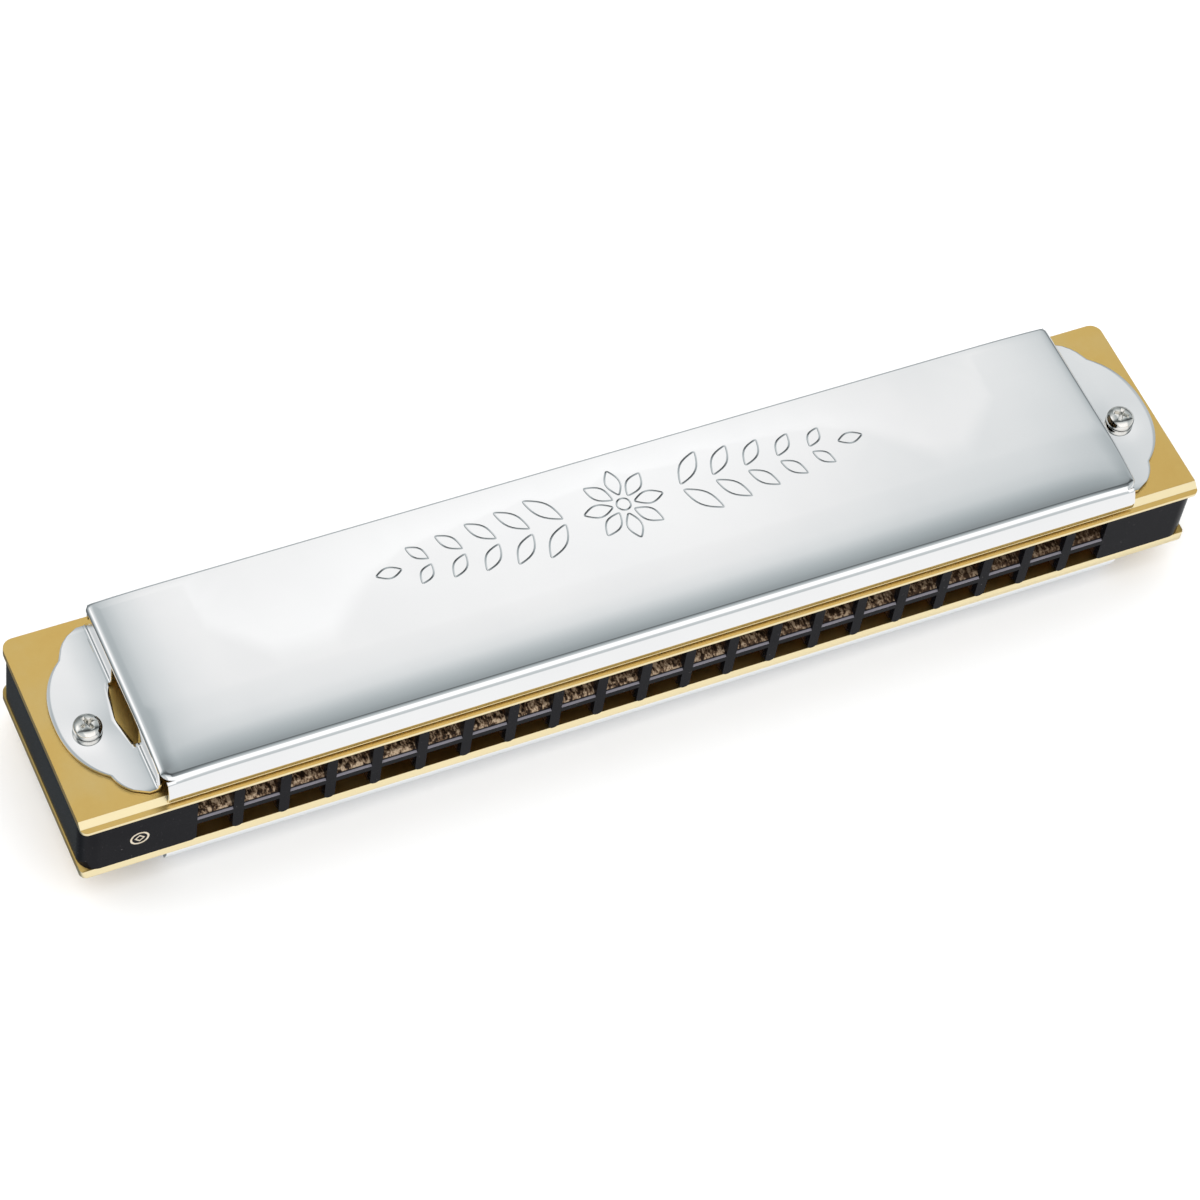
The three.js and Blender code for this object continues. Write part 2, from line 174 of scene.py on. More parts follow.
def lathe(profile, sides):
    """A closed solid turned about Z from a profile of (radius, z) that starts and ends on the axis."""
    verts = []
    rings = []
    for radius, z in profile:
        if radius == 0:
            rings.append([len(verts)] * sides)
            verts.append((0, 0, z))
            continue
        rings.append(list(range(len(verts), len(verts) + sides)))
        for i in range(sides):
            angle = 2 * math.pi * i / sides
            verts.append((radius * math.cos(angle), radius * math.sin(angle), z))
    faces = []
    for lower, upper in zip(rings, rings[1:]):
        for i in range(sides):
            j = (i + 1) % sides
            corners = [lower[i], lower[j], upper[j], upper[i]]
            face = [c for k, c in enumerate(corners) if c not in corners[:k]]
            faces.append(face)
    return verts, faces


def joined_parts(parts):
    """Several (verts, faces) as one."""
    verts = []
    faces = []
    for part_verts, part_faces in parts:
        offset = len(verts)
        verts += part_verts
        faces += [[i + offset for i in face] for face in part_faces]
    return verts, faces


def moved(part, dx, dy, dz):
    verts, faces = part
    return [(x + dx, y + dy, z + dz) for x, y, z in verts], faces


def outward(mesh):
    work = bmesh.new()
    work.from_mesh(mesh)
    bmesh.ops.recalc_face_normals(work, faces=work.faces)
    work.to_mesh(mesh)
    work.free()


def cut(piece, parts):
    """Takes closed solids away from a piece."""
    mesh = mesh_from("cutter", *joined_parts(parts))
    outward(mesh)
    cutter = new_object("cutter", mesh)
    modifier(piece, "BOOLEAN", operation="DIFFERENCE", solver="EXACT", object=cutter)
    applied(piece)
    bpy.data.objects.remove(cutter)


def arc(cx, cy, radius, start, end, steps):
    found = []
    for i in range(steps + 1):
        angle = math.radians(start + (end - start) * i / steps)
        found.append((cx + radius * math.cos(angle), cy + radius * math.sin(angle)))
    return found


def disc(x, y, radius, z0, z1, sides):
    return prism(arc(x, y, radius, 0, 360 - 360 / sides, sides - 1), "z", z0, z1)


def rounded_rectangle(x0, x1, y0, y1, front_radius, back_radius, steps):
    f, b = front_radius, back_radius
    return (
        arc(x1 - b, y1 - b, b, 0, 90, steps)
        + arc(x0 + b, y1 - b, b, 90, 180, steps)
        + arc(x0 + f, y0 + f, f, 180, 270, steps)
        + arc(x1 - f, y0 + f, f, 270, 360, steps)
    )


def soften(piece, width, segments=2, angle=30.0):
    """Rounds a solid's edges, so that they catch the light as real ones do."""
    modifier(
        piece, "BEVEL", width=width * MM, segments=segments, limit_method="ANGLE",
        angle_limit=math.radians(angle), use_clamp_overlap=True,
    )
    modifier(piece, "WEIGHTED_NORMAL", weight=100, keep_sharp=False)
    shade_smooth(piece)


# Materials


class Tree:
    """A node tree, with short ways to add and join nodes."""

    def __init__(self, tree):
        self.tree = tree

    def add(self, kind, **settings):
        node = self.tree.nodes.new(kind)
        for key, value in settings.items():
            setattr(node, key, value)
        return node

    def join(self, source, target):
        """Feeds a socket from another one, or sets it to a plain number or colour."""
        if isinstance(source, (int, float)):
            target.default_value = source
        elif isinstance(source, tuple):
            target.default_value = (*source, 1)
        else:
            self.tree.links.new(source, target)

    def ramp(self, factor, *stops):
        node = self.add("ShaderNodeValToRGB")
        elements = node.color_ramp.elements
        elements[0].position, elements[0].color = stops[0][0], (*stops[0][1], 1)
        elements[1].position, elements[1].color = stops[-1][0], (*stops[-1][1], 1)
        for position, colour in stops[1:-1]:
            elements.new(position).color = (*colour, 1)
        self.join(factor, node.inputs["Fac"])
        return node.outputs["Color"]

    def remap(self, value, low, high, to_low, to_high, smooth=False):
        node = self.add("ShaderNodeMapRange", interpolation_type="SMOOTHSTEP" if smooth else "LINEAR")
        for key, number in (("From Min", low), ("From Max", high), ("To Min", to_low), ("To Max", to_high)):
            node.inputs[key].default_value = number
        self.join(value, node.inputs["Value"])
        return node.outputs["Result"]

    def maths(self, operation, a, b=0.0):
        node = self.add("ShaderNodeMath", operation=operation)
        self.join(a, node.inputs[0])
        self.join(b, node.inputs[1])
        return node.outputs["Value"]

    def mixed(self, factor, a, b, data_type="RGBA"):
        node = self.add("ShaderNodeMix", data_type=data_type)
        for socket, value in (("Factor", factor), ("A", a), ("B", b)):
            self.join(value, node.inputs[socket])
        return node.outputs["Result"]


class Nodes(Tree):
    """A material's node tree, with its shader and the patterns that materials share."""

    def __init__(self, name):
        self.material = bpy.data.materials.new(name)
        self.material.use_nodes = True
        super().__init__(self.material.node_tree)
        self.shader = self.tree.nodes["Principled BSDF"]
        self.position = self.add("ShaderNodeTexCoord").outputs["Object"]

    def set(self, **values):
        for key, value in values.items():
            self.shader.inputs[key.replace("_", " ")].default_value = value

    def scaled(self, x, y, z):
        mapping = self.add("ShaderNodeMapping")
        mapping.inputs["Scale"].default_value = (x, y, z)
        self.join(self.position, mapping.inputs["Vector"])
        return mapping.outputs["Vector"]

    def noise(self, vector, scale, detail=3.0, roughness=0.5):
        node = self.add("ShaderNodeTexNoise")
        node.inputs["Scale"].default_value = scale
        node.inputs["Detail"].default_value = detail
        node.inputs["Roughness"].default_value = roughness
        self.join(vector, node.inputs["Vector"])
        return node.outputs["Fac"]

    def band(self, value, low, high, blur):
        """1 where a value is between two limits, 0 elsewhere."""
        above = self.remap(value, low - blur, low, 0.0, 1.0)
        below = self.remap(value, high, high + blur, 1.0, 0.0)
        return self.maths("MULTIPLY", above, below)

    def bump(self, height, strength, distance):
        node = self.add("ShaderNodeBump")
        node.inputs["Strength"].default_value = strength
        node.inputs["Distance"].default_value = distance
        self.join(height, node.inputs["Height"])
        self.join(node.outputs["Normal"], self.shader.inputs["Normal"])

    def slope(self):
        """The size of the surface normal's upward part: 1 on level faces, 0 on upright ones."""
        split = self.add("ShaderNodeSeparateXYZ")
        self.join(self.add("ShaderNodeNewGeometry").outputs["True Normal"], split.inputs["Vector"])
        return self.maths("ABSOLUTE", split.outputs["Z"])

    def axis(self, index):
        split = self.add("ShaderNodeSeparateXYZ")
        self.join(self.position, split.inputs["Vector"])
        return split.outputs[index]


def chrome():
    m = Nodes("cover_chrome")
    m.set(Metallic=1.0)
    haze = m.noise(m.scaled(1, 1, 1), 60, 4)
    wipe = m.noise(m.scaled(1, 8, 1), 300, 3)
    colour = m.ramp(haze, (0.3, (0.825, 0.83, 0.835)), (0.7, (0.855, 0.858, 0.86)))
    m.join(colour, m.shader.inputs["Base Color"])
    m.join(m.remap(wipe, 0.3, 0.8, 0.035, 0.075), m.shader.inputs["Roughness"])
    m.bump(m.noise(m.scaled(1, 1, 1), 90, 2), 0.05, 0.0002)
    return m.material


def brass():
    m = Nodes("plate_brass")
    m.set(Metallic=1.0)
    grain = m.noise(m.scaled(0.05, 1, 1), 9000, 2)
    cloud = m.noise(m.scaled(1, 1, 1), 90, 5, 0.6)
    colour = m.ramp(
        cloud, (0.25, (0.79, 0.51, 0.15)), (0.5, (0.87, 0.59, 0.19)), (0.8, (0.93, 0.68, 0.28))
    )
    # painted highlight: the upright faces along the front are painted pale, as they catch the light
    front = m.remap(m.axis(1), (PLATE_FRONT + 1.7) * MM, (PLATE_FRONT + 1.8) * MM, 1.0, 0.0)
    painted_front_highlight = m.maths("MULTIPLY", front, m.remap(m.slope(), 0.85, 0.95, 1.0, 0.0))
    colour = m.mixed(painted_front_highlight, colour, (0.93, 0.80, 0.50))
    m.join(colour, m.shader.inputs["Base Color"])
    rough = m.remap(cloud, 0.2, 0.8, 0.30, 0.42)
    m.join(rough, m.shader.inputs["Roughness"])
    m.bump(grain, 0.12, 0.00004)
    return m.material


def plastic():
    m = Nodes("comb_plastic")
    m.set(IOR=1.5, Specular_IOR_Level=0.04)
    specks = m.noise(m.scaled(1, 1, 1), 2600, 2, 0.7)
    flow = m.noise(m.scaled(0.4, 1, 1), 120, 4)
    base = m.ramp(flow, (0.3, (0.004, 0.004, 0.006)), (0.7, (0.008, 0.008, 0.010)))
    fleck = m.ramp(specks, (0.70, (0, 0, 0)), (0.78, (1, 1, 1)))
    base = m.mixed(fleck, base, (0.10, 0.09, 0.09))
    # painted light: behind the mouth the chambers are painted brown, for the light that comes through the
    # brass
    inside = m.band(m.axis(1), (comb_low.y + 1.6) * MM, (comb_high.y - 1.0) * MM, 0.8 * MM)
    between_ends = m.band(m.axis(0), -CHAMBER_END * MM, CHAMBER_END * MM, 0.8 * MM)
    base = m.mixed(m.maths("MULTIPLY", inside, between_ends), base, (0.068, 0.033, 0.017))
    # painted reflection: the floors of the upper chambers carry a broken bronze gleam, painted in for the
    # brass above them
    painted_reflection_noise = m.noise(m.scaled(1, 0.5, 1), 1900, 3, 0.7)
    painted_reflection = m.ramp(
        painted_reflection_noise, (0.42, (0.02, 0.012, 0.008)), (0.50, (0.16, 0.10, 0.06)), (0.60, (0.55, 0.42, 0.29))
    )
    # the painted reflection fades towards the short reeds
    painted_reflection = m.mixed(m.remap(m.axis(0), -10 * MM, CHAMBER_END * MM, 0.0, 0.7), painted_reflection, (0.035, 0.018, 0.009))
    shelf = comb_high.z - UPPER_CHAMBER_HEIGHT
    level = m.remap(m.slope(), 0.35, 0.45, 0.0, 1.0)
    floor = m.band(m.axis(2), (shelf - RAMP_DROP + 0.3) * MM, (shelf + 0.05) * MM, 0.05 * MM)
    base = m.mixed(m.maths("MULTIPLY", level, floor), base, painted_reflection)
    # painted highlight: a pale grey line along the front edge of each shelf
    edge = m.band(m.axis(2), (shelf - RAMP_DROP - 0.15) * MM, (shelf - RAMP_DROP + 0.15) * MM, 0.05 * MM)
    base = m.mixed(m.maths("MULTIPLY", level, edge), base, (0.22, 0.21, 0.24))
    m.join(base, m.shader.inputs["Base Color"])
    m.join(m.remap(flow, 0.3, 0.7, 0.16, 0.26), m.shader.inputs["Roughness"])
    m.bump(specks, 0.08, 0.00003)
    return m.material


def bronze():
    m = Nodes("reed_bronze")
    m.set(Metallic=1.0)
    filed = m.noise(m.scaled(1, 0.06, 1), 9000, 2)
    cloud = m.noise(m.scaled(1, 1, 1), 350, 3)
    colour = m.ramp(cloud, (0.3, (0.58, 0.33, 0.13)), (0.7, (0.70, 0.44, 0.20)))
    m.join(colour, m.shader.inputs["Base Color"])
    m.join(m.remap(filed, 0.3, 0.7, 0.18, 0.36), m.shader.inputs["Roughness"])
    m.bump(filed, 0.2, 0.00005)
    return m.material


def cloudy_metal(name, scale, dark, light, smooth, rough):
    """A metal whose colour and roughness vary together in small clouds."""
    m = Nodes(name)
    m.set(Metallic=1.0)
    cloud = m.noise(m.scaled(1, 1, 1), scale, 3)
    m.join(m.ramp(cloud, (0.3, dark), (0.7, light)), m.shader.inputs["Base Color"])
    m.join(m.remap(cloud, 0.3, 0.7, smooth, rough), m.shader.inputs["Roughness"])
    return m


def nickel():
    m = cloudy_metal("screw_nickel", 700, (0.76, 0.74, 0.70), (0.86, 0.85, 0.82), 0.06, 0.14)
    m.bump(m.noise(m.scaled(1, 1, 1), 1600, 2), 0.08, 0.00005)
    return m.material


def nail_metal():
    return cloudy_metal("nail_brass", 900, (0.50, 0.35, 0.13), (0.64, 0.47, 0.2), 0.25, 0.45).material


def gilt():
    return cloudy_metal("mark_gilt", 1200, (0.78, 0.66, 0.48), (0.92, 0.84, 0.70), 0.3, 0.45).material


def floor_finish():
    m = Nodes("floor_white")
    m.set(Roughness=0.9, Specular_IOR_Level=0.0)
    cloud = m.noise(m.scaled(1, 1, 1), 3, 2)
    colour = m.ramp(cloud, (0.3, (0.95, 0.95, 0.95)), (0.7, (0.97, 0.97, 0.97)))
    m.join(colour, m.shader.inputs["Base Color"])
    return m.material


CHROME = chrome()
BRASS = brass()
PLASTIC = plastic()
BRONZE = bronze()
NICKEL = nickel()
NAIL = nail_metal()
GILT = gilt()


def finish_piece(piece, material, slot, body, *replaced):
    piece.data.materials.clear()
    piece.data.materials.append(material)
    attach(piece, body)
    if replaced:
        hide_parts(*replaced)
    return piece


# Cover: one folded sheet, in its own frame. x is from the cover's centre, h is height above the plate.

SHEET = 0.4
HALF = 73.2
BEND = 1.0
BACK_BEND = 0.5
BACK = 14.9
CROWN_START = -4.0
CROWN_HEIGHT = 5.1
CREASE_Y = -13.75
CREASE_H = 4.05
FRONT_CORNER = 0.9
BACK_CORNER = 0.25
FLANGE_HALF = 72.5
BACK_WALL_HALF = 72.8
DROOP_START = 60.0
END_DROOP = 0.33
WALL_FRONT = -13.4
GORE_FOOT = 14.35
GORE_TOP = 11.8
BACK_SLOT = 1.5
TAB_FACE = 0.52
TAB_RISE = 0.12  # the tab stands this much higher at its fold
TAB_RISE_REACH = 4.5
TAB_DIP = 0.08
TAB_DIP_RADIUS = 2.8
FOLD = 0.35
WINDOW_FRONT = -5.8
WINDOW_BACK = 4.5
WINDOW_ELBOW = -1.2
WINDOW_SHOULDER = 0.45
WINDOW_DEPTH = 1.5
TAB_CENTRE = 0.5
MID_LOBE_X = 70.6
MID_LOBE_RADIUS = 12.0
MID_LOBE_POWER = 2.25
SIDE_LOBE_X = 72.7
SIDE_LOBE_Y = 8.35
SIDE_LOBE_RADIUS = 5.8
BEND_STEPS = 6
LOW_STEPS = 5
SKIN_STEPS = 4  # rows of the bend that run round the front corners, above the slits
CORNER_STEPS = 6
FOLD_STEPS = 4
TAB_STEPS = 14
ROW_SPACING = 0.55
EAR_SPACING = 0.3
ROOF_SPACING = 4.0
DROOP_SPACING = 1.1
COVER_HOLE_RADIUS = 1.2
SHARP_ANGLE = 17  # degrees; gentler edges of the sheet are shaded smooth
SHEET_EDGE_ROUND = 0.09
NEARLY = 1e-6


def crown(y):
    t = min(0.0, y - CROWN_START) / (CREASE_Y - CROWN_START)
    return CROWN_HEIGHT - (CROWN_HEIGHT - CREASE_H) * t * t


def front_profile(h):
    """Offsets and heights from the crease down the shoulder and the lip, for an edge at height h."""
    steps = [(0, 0), (0.11, 0.035), (0.46, 0.19), (0.62, 0.34), (0.82, 0.64), (1.10, 1.13), (1.36, 1.68)]
    steps += [(1.62, 2.36), (1.74, 2.66), (1.80, 2.88), (1.77, 3.5), (1.66, 4.3)]
    return [(offset, h - drop) for offset, drop in steps]


def end_profile(h):
    steps = []
    for k in range(BEND_STEPS + 1):
        angle = math.radians(90 * k / BEND_STEPS)
        steps.append((BEND * math.sin(angle), h - BEND * (1 - math.cos(angle))))
    foot = TAB_FACE + TAB_RISE + FOLD
    for k in range(1, LOW_STEPS + 1):
        steps.append((BEND, h - BEND + (foot - h + BEND) * k / LOW_STEPS))
    return steps


def back_profile(h):
    steps = []
    for k in range(BEND_STEPS + 1):
        angle = math.radians(90 * k / BEND_STEPS)
        steps.append((BACK_BEND * math.sin(angle), h - BACK_BEND * (1 - math.cos(angle))))
    for k in range(1, LOW_STEPS + 1):
        steps.append((BACK_BEND, h - BACK_BEND + (BACK_SLOT - h + BACK_BEND) * k / LOW_STEPS))
    return steps


def end_droop(x):
    """How far the roof is drawn down towards the end bends."""
    share = max(0.0, abs(x) - DROOP_START) / (HALF - BEND - DROOP_START)
    return END_DROOP * share**2.5


class Sheet:
    """An open surface whose patches share the vertices where they meet."""

    def __init__(self):
        self.points = []
        self.found = {}
        self.faces = []

    def vertex(self, point):
        key = tuple(round(c * 1e4) for c in point)
        if key not in self.found:
            self.found[key] = len(self.points)
            self.points.append(point)
        return self.found[key]

    def face(self, corners):
        ids = []
        for corner in corners:
            i = self.vertex(corner)
            if i not in ids:
                ids.append(i)
        if len(ids) > 2:
            self.faces.append(ids)

    def grid(self, rows):
        for upper, lower in zip(rows, rows[1:]):
            for i in range(len(upper) - 1):
                self.face([upper[i], lower[i], lower[i + 1], upper[i + 1]])

    def columns(self, columns):
        self.grid(list(zip(*columns)))


def spaced(start, end, step):
    count = max(1, round(abs(end - start) / step))
    return [start + (end - start) * i / count for i in range(count + 1)]


def tab_edge(y):
    """How far out the tab's scalloped outline is, at a distance y across the instrument."""
    edges = [HALF + FOLD + 0.1]
    share = abs(y - TAB_CENTRE) / MID_LOBE_RADIUS
    if share < 1:
        edges.append(MID_LOBE_X + MID_LOBE_RADIUS * (1 - share**MID_LOBE_POWER) ** (1 / MID_LOBE_POWER))
    for sign in (-1, 1):
        across = y - (TAB_CENTRE + sign * SIDE_LOBE_Y)
        if abs(across) < SIDE_LOBE_RADIUS:
            edges.append(SIDE_LOBE_X + math.sqrt(SIDE_LOBE_RADIUS**2 - across**2))
    return max(edges)


def window_edge(y):
    """How far the window reaches out into the tab."""
    if y < WINDOW_ELBOW:
        share = (y - WINDOW_FRONT) / (WINDOW_ELBOW - WINDOW_FRONT)
    else:
        share = (WINDOW_BACK - y) / (WINDOW_BACK - WINDOW_ELBOW)
    return HALF + WINDOW_SHOULDER + (WINDOW_DEPTH - WINDOW_SHOULDER) * share


def notch_ys():
    """The two places where the tab's lobes meet."""
    found = []
    for sign in (-1, 1):
        near, far = TAB_CENTRE + sign * 6.0, TAB_CENTRE + sign * 11.0
        for _ in range(30):
            middle = (near + far) / 2
            share = abs(middle - TAB_CENTRE) / MID_LOBE_RADIUS
            mid = MID_LOBE_X + MID_LOBE_RADIUS * (1 - share**MID_LOBE_POWER) ** (1 / MID_LOBE_POWER)
            if tab_edge(middle) > mid + 1e-9:
                far = middle
            else:
                near = middle
        found.append((near + far) / 2)
    return found


def side_ys():
    """Rows across the instrument that the roof, the end walls and the tabs share."""
    notch_front, notch_back = notch_ys()
    stops = [CREASE_Y + FRONT_CORNER, notch_front, WINDOW_FRONT, CROWN_START, WINDOW_ELBOW]
    stops += [WINDOW_BACK, notch_back, GORE_TOP, BACK - BACK_BEND - BACK_CORNER]
    ys = [stops[0]]
    for start, end in zip(stops, stops[1:]):
        ys += spaced(start, end, ROW_SPACING)[1:]
    return ys


def tab_height(side, x, y):
    """The tab is drawn down a little round its screw."""
    screw_x = abs((SCREW_X[0] if side < 0 else SCREW_X[1]) - COVER_CENTRE)
    far = math.hypot(x - screw_x, y - SCREW_Y)
    near_fold = max(0.0, 1 - (x - HALF - FOLD) / TAB_RISE_REACH)
    return TAB_FACE + TAB_RISE * near_fold**2 - TAB_DIP * math.exp(-((far / TAB_DIP_RADIUS) ** 2))


def add_tab(sheet, side, ys):
    rows = []
    for y in ys:
        inside = WINDOW_FRONT - NEARLY < y < WINDOW_BACK + NEARLY
        start = window_edge(y) if inside else HALF + WINDOW_SHOULDER
        end = tab_edge(y)
        xs = [start + (end - start) * i / TAB_STEPS for i in range(TAB_STEPS + 1)]
        rows.append([(side * x, y, tab_height(side, x, y)) for x in xs])
    sheet.grid(rows if side > 0 else rows[::-1])


def add_fold(sheet, side, ys):
    """The round foot between an end wall and its tab."""
    rows = []
    for y in ys:
        row = []
        for k in range(FOLD_STEPS + 1):
            angle = math.radians(90 * k / FOLD_STEPS)
            x = HALF + FOLD * (1 - math.cos(angle))
            row.append((side * x, y, TAB_FACE + TAB_RISE + FOLD * (1 - math.sin(angle))))
        row.append((side * (HALF + WINDOW_SHOULDER), y, tab_height(side, HALF + WINDOW_SHOULDER, y)))
        rows.append(row)
    sheet.grid(rows if side > 0 else rows[::-1])


def wall_rows(side, ys, shift):
    """Rows down the end wall, where shift moves a point along the wall as it goes down."""
    rows = []
    for y in ys:
        profile = end_profile(crown(y))[BEND_STEPS:]
        row = []
        for k, (offset, h) in enumerate(profile):
            row.append((side * (HALF - BEND + offset), y + shift(y, k / LOW_STEPS), h))
        rows.append(row)
    return rows


def roof_xs(end):
    """Stations along the roof, closer together where it droops."""
    outer = spaced(DROOP_START, end, DROOP_SPACING)[1:]
    return [-x for x in reversed(outer)] + spaced(-DROOP_START, DROOP_START, ROOF_SPACING) + outer


def roof_boundary(ys):
    """The roof's outline, round from the front left, as (point, outward direction, weight of the end)."""
    x_front, y_front = HALF - BEND - FRONT_CORNER, CREASE_Y + FRONT_CORNER
    x_back, y_back = HALF - BEND - BACK_CORNER, BACK - BACK_BEND - BACK_CORNER
    front = [((x, CREASE_Y), (0, -1), 0.0) for x in roof_xs(x_front)]
    right = []
    for k in range(1, CORNER_STEPS):
        share = k / CORNER_STEPS
        dx, dy = math.sin(math.radians(90 * share)), -math.cos(math.radians(90 * share))
        right.append(((x_front + FRONT_CORNER * dx, y_front + FRONT_CORNER * dy), (dx, dy), share))
    for y in ys:
        right.append(((HALF - BEND, y), (1, 0), 1.0))
    for k in range(1, CORNER_STEPS):
        share = k / CORNER_STEPS
        dx, dy = math.cos(math.radians(90 * share)), math.sin(math.radians(90 * share))
        right.append(((x_back + BACK_CORNER * dx, y_back + BACK_CORNER * dy), (dx, dy), 1 - share))
    back = [((-x, BACK - BACK_BEND), (0, 1), 0.0) for x in roof_xs(x_back)]
    left = [((-p[0], p[1]), (-d[0], d[1]), w) for p, d, w in reversed(right)]
    return front, right, back, left


def blended(profile_a, profile_b, weight):
    """A profile part of the way from one to the other, easing at both ends."""
    w = weight * weight * (3 - 2 * weight)
    return [(a[0] + (b[0] - a[0]) * w, a[1] + (b[1] - a[1]) * w) for a, b in zip(profile_a, profile_b)]


def skirt_column(entry, is_front):
    """Points down from one place on the roof's outline."""
    (x, y), (dx, dy), weight = entry
    h = crown(y)
    other = front_profile(h) if is_front else back_profile(h)
    profile = blended(other, end_profile(h), weight)
    return [(x + dx * o, y + dy * o, z) for o, z in profile]


def add_ear(sheet, side, edge, full_width, order):
    """Runs a flange or the back wall on from its edge, below the corner skin, to its full width."""
    stations = spaced(abs(edge[0][0]), full_width, EAR_SPACING)
    columns = [[(side * x, y, z) for _, y, z in edge] for x in stations]
    sheet.columns(columns[::order])


def add_cover_body(sheet, ornament):
    ys = side_ys()
    front, right, back, left = roof_boundary(ys)
    corner = CORNER_STEPS - 1
    # front flange and its ears
    columns = [skirt_column(entry, True) for entry in front]
    sheet.columns(columns)
    add_ear(sheet, -1, columns[0][SKIN_STEPS:], FLANGE_HALF, -1)
    add_ear(sheet, 1, columns[-1][SKIN_STEPS:], FLANGE_HALF, 1)
    # corners, end bends and end walls
    for side, run in ((1, right), (-1, left[::-1])):
        columns = [skirt_column(front[-1] if side > 0 else front[0], True)]
        columns += [skirt_column(entry, True) for entry in run[:corner]]
        columns += [skirt_column(entry, False) for entry in run[corner:]]
        columns.append(skirt_column(back[0] if side > 0 else back[-1], False))
        front_part = [c[: SKIN_STEPS + 1] for c in columns[: corner + 2]]
        sheet.columns(front_part[::side])
        rest = [c[: BEND_STEPS + 1] for c in columns[corner + 1 :]]
        sheet.columns(rest[::side])
        add_walls(sheet, side, ys)
    # back wall, whose ears stop at the slanted relief of the end walls
    columns = [skirt_column(entry, False) for entry in back]
    sheet.columns(columns)
    add_ear(sheet, -1, columns[-1][BEND_STEPS:], BACK_WALL_HALF, 1)
    add_ear(sheet, 1, columns[0][BEND_STEPS:], BACK_WALL_HALF, -1)
    add_roof(sheet, front, right, back, left, ornament)


def add_walls(sheet, side, ys):
    """An end wall in two parts beside the window, each with its fold and its part of the tab."""
    first = ys[0]

    def lean_front(y, t):
        return (WALL_FRONT - first) * t if y == first else 0.0

    def lean_back(y, t):
        share = max(0.0, (y - WINDOW_BACK) / (GORE_TOP - WINDOW_BACK))
        return share**2 * (GORE_FOOT - GORE_TOP) * t

    front_ys = [y for y in ys if y < WINDOW_FRONT + NEARLY]
    back_ys = [y for y in ys if WINDOW_BACK - NEARLY < y < GORE_TOP + NEARLY]
    window_ys = [y for y in ys if WINDOW_FRONT - NEARLY < y < WINDOW_BACK + NEARLY]
    for part, lean in ((front_ys, lean_front), (back_ys, lean_back)):
        rows = wall_rows(side, part, lean)
        sheet.grid(rows if side > 0 else rows[::-1])
        feet = [row[-1][1] for row in rows]
        add_fold(sheet, side, feet)
        add_tab(sheet, side, feet)
    add_tab(sheet, side, window_ys)


def add_roof(sheet, front, right, back, left, ornament):
    """The curved front of the roof as a grid, and its flat back as triangles round the engraving."""
    xs = [entry[0][0] for entry in front]
    inner = xs[1:-1]
    rows = [[(x, CREASE_Y, crown(CREASE_Y)) for x in xs]]
    for entry in right:
        x, y = entry[0]
        if y > CROWN_START + NEARLY:
            break
        h = crown(y)
        rows.append([(-x, y, h)] + [(i, y, h) for i in inner] + [(x, y, h)])
    sheet.grid(rows[::-1])
    # the flat part's border, with more points inside it near the ends, where the roof droops
    loop = [(p[0], p[1]) for p in rows[-1]]
    loop += [e[0] for e in right if e[0][1] > CROWN_START + NEARLY]
    loop += [e[0] for e in back]
    loop += [e[0] for e in left if e[0][1] > CROWN_START + NEARLY]
    points = [Vector(p) for p in loop]
    for x in spaced(DROOP_START, HALF - BEND - 0.8, DROOP_SPACING):
        for y in spaced(CROWN_START + 1.2, BACK - 1.6, 1.6):
            points += [Vector((-x, y)), Vector((x, y))]
    edges = []
    depths = [0.0] * len(points)
    for track in ornament:
        for across, depth in ((-1, 0.0), (0, GROOVE_DEPTH), (1, 0.0)):
            start = len(points)
            line = offset_line(track, across * GROOVE_HALF_WIDTH)
            points += [Vector(p) for p in line]
            depths += [depth] * len(line)
            edges += [(start + i, start + (i + 1) % len(line)) for i in range(len(line))]
    border = list(range(len(loop)))
    verts, _, faces, source, _, _ = delaunay_2d_cdt(points, edges, [border], 1, NEARLY, True)
    heights = []
    for ids in source:
        sunk = max((depths[i] for i in ids), default=0.0)
        heights.append(CROWN_HEIGHT - sunk)
    for face in faces:
        sheet.face([(verts[i].x, verts[i].y, heights[i]) for i in face])


def droop(sheet):
    """Draws the roof down at its ends; the bends, flange and walls follow in proportion to height."""
    for i, (x, y, h) in enumerate(sheet.points):
        share = max(0.0, h - TAB_FACE) / (CROWN_HEIGHT - TAB_FACE)
        sheet.points[i] = (x, y, h - end_droop(min(abs(x), HALF - BEND)) * share**3)


# Engraving on the upper cover: a spray of plain leaves about a rosette, with no lettering

GROOVE_HALF_WIDTH = 0.14
GROOVE_DEPTH = 0.06
ORNAMENT_CENTRE = (2.0, 5.8)
EYE_RADIUS = 1.0
PETALS = 8
PETAL_START = 1.7
PETAL_LENGTH = 4.2
PETAL_WIDTH = 2.1
LEAF_PAIRS = 5
FIRST_PAIR = 9.0
PAIR_SPACING = 5.0
STEM_GAP = 0.55
LEAF_TILT = 48
LEAF_LENGTH = 6.0
LEAF_WIDTH = 2.3
LENGTH_LOSS = 0.65  # from one pair to the next
WIDTH_LOSS = 0.15
END_LEAF = 33.2
END_LEAF_LENGTH = 3.6
END_LEAF_WIDTH = 1.8


def offset_line(track, distance):
    """A closed line moved sideways."""
    count = len(track)
    line = []
    for i in range(count):
        before, after = Vector(track[i - 1]), Vector(track[(i + 1) % count])
        along = (after - before).normalized()
        line.append((track[i][0] - along.y * distance, track[i][1] + along.x * distance))
    return line


